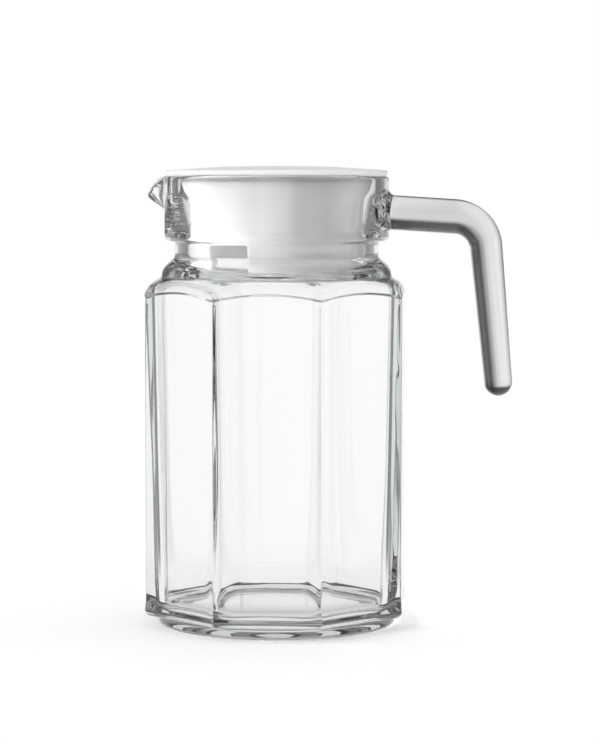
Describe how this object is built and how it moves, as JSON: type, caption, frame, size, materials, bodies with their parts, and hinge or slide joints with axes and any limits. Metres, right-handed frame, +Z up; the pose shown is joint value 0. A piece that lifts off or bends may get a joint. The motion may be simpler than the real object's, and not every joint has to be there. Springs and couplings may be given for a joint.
{
  "type": "glass pitcher with lid",
  "caption": "Eight-sided clear glass jug with a hook handle, a pouring beak and a white press-in lid whose plug turns to open a pouring gate.",
  "frame": {"origin": "on the jug's axis, in the plane of the foot ring that it stands on", "axes": "+Z up along the jug's axis, +X towards the handle, -X towards the beak"},
  "size_m": [0.146, 0.102, 0.1831],
  "materials": {
    "clear_glass": "clear, fire polished",
    "white_plastic": "smooth satin white"
  },
  "bodies": {
    "jug": {"jug_body": "clear_glass", "handle": "clear_glass"},
    "lid": {"lid_cap": "white_plastic"},
    "plug": {"lid_plug": "white_plastic"}
  },
  "joints": [
    {"name": "lid_lift", "type": "slide", "parent": "jug", "child": "lid", "axis": [0, 0, 1], "range_m": [0, 0.05]},
    {"name": "lid_turn", "type": "hinge", "parent": "lid", "child": "plug", "pos_m": [0, 0, 0.15], "axis": [0, 0, 1], "continuous": true}
  ]
}
